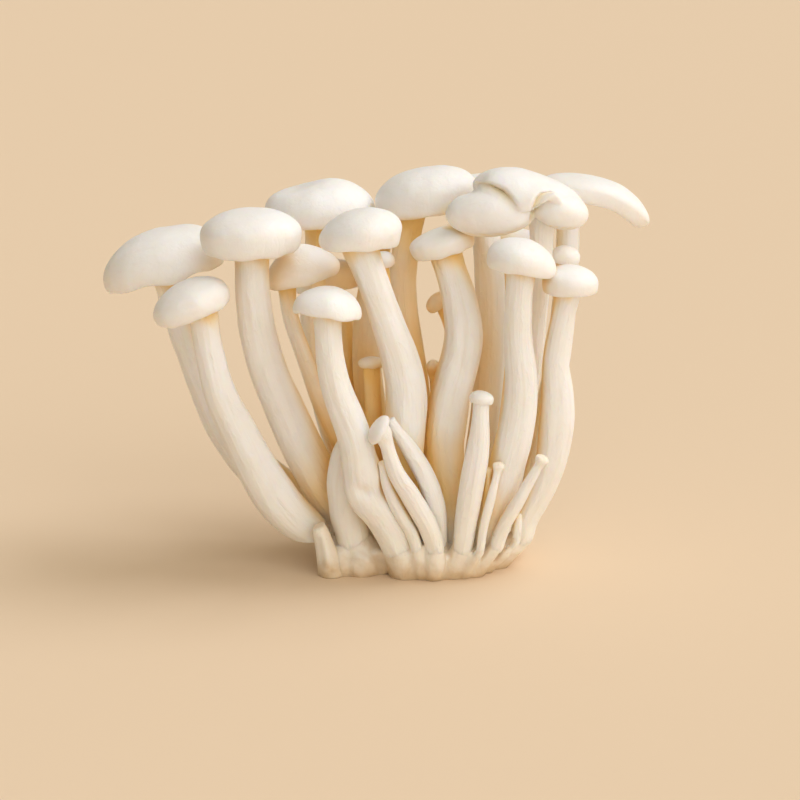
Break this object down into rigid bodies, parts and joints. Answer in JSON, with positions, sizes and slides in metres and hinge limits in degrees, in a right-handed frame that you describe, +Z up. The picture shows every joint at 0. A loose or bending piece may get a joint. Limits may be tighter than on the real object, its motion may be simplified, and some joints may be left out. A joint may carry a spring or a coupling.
{
  "type": "beech mushroom cluster",
  "caption": "Cluster of white beech mushrooms with curved stems and domed caps, joined in one trimmed foot that stands on its cut face.",
  "frame": {"origin": "centre of the cut face under the foot", "axes": "+Z up along the stems, +X to the right along the cluster's wide side, -Y towards its front"},
  "size_m": [0.1253, 0.0657, 0.0919],
  "materials": {
    "cap_skin": "smooth ivory skin with a soft satin sheen",
    "stem_flesh": "cream flesh with fine fibres along the stem",
    "pin_flesh": "smooth, slightly translucent cream flesh",
    "foot_flesh": "rough fused flesh, tan where it was cut"
  },
  "bodies": {
    "root": {"cap_back_centre": "cap_skin", "cap_back_left": "cap_skin", "cap_back_right": "cap_skin", "cap_centre": "cap_skin", "cap_centre_left": "cap_skin", "cap_far_left": "cap_skin", "cap_far_right": "cap_skin", "cap_folded": "cap_skin", "cap_front_left": "cap_skin", "cap_front_pin": "cap_skin", "cap_front_right": "cap_skin", "cap_inner_left": "cap_skin", "cap_inner_neck": "cap_skin", "cap_inner_pin": "cap_skin", "cap_inner_right": "cap_skin", "cap_inner_small": "cap_skin", "cap_left": "cap_skin", "cap_left_front": "cap_skin", "cap_left_pin": "cap_skin", "cap_rear_centre": "cap_skin", "cap_rear_left": "cap_skin", "cap_rear_low": "cap_skin", "cap_rear_right": "cap_skin", "cap_right": "cap_skin", "cap_second_left_pin": "cap_skin", "foot": "foot_flesh", "hidden_pin": "pin_flesh", "right_nub": "pin_flesh", "right_pin": "pin_flesh", "slim_pin": "pin_flesh", "stem_back_centre": "stem_flesh", "stem_back_left": "stem_flesh", "stem_back_right": "stem_flesh", "stem_centre": "stem_flesh", "stem_centre_left": "stem_flesh", "stem_far_left": "stem_flesh", "stem_far_right": "stem_flesh", "stem_folded": "stem_flesh", "stem_front_left": "stem_flesh", "stem_front_pin": "stem_flesh", "stem_front_right": "stem_flesh", "stem_inner_left": "stem_flesh", "stem_inner_neck": "stem_flesh", "stem_inner_pin": "stem_flesh", "stem_inner_right": "stem_flesh", "stem_inner_small": "stem_flesh", "stem_left": "stem_flesh", "stem_left_front": "stem_flesh", "stem_left_pin": "stem_flesh", "stem_rear_centre": "stem_flesh", "stem_rear_left": "stem_flesh", "stem_rear_low": "stem_flesh", "stem_rear_right": "stem_flesh", "stem_right": "stem_flesh", "stem_second_left_pin": "stem_flesh", "stump": "stem_flesh", "swollen_pin": "pin_flesh", "tiny_pin": "pin_flesh", "twin_pin": "pin_flesh"}
  },
  "joints": []
}
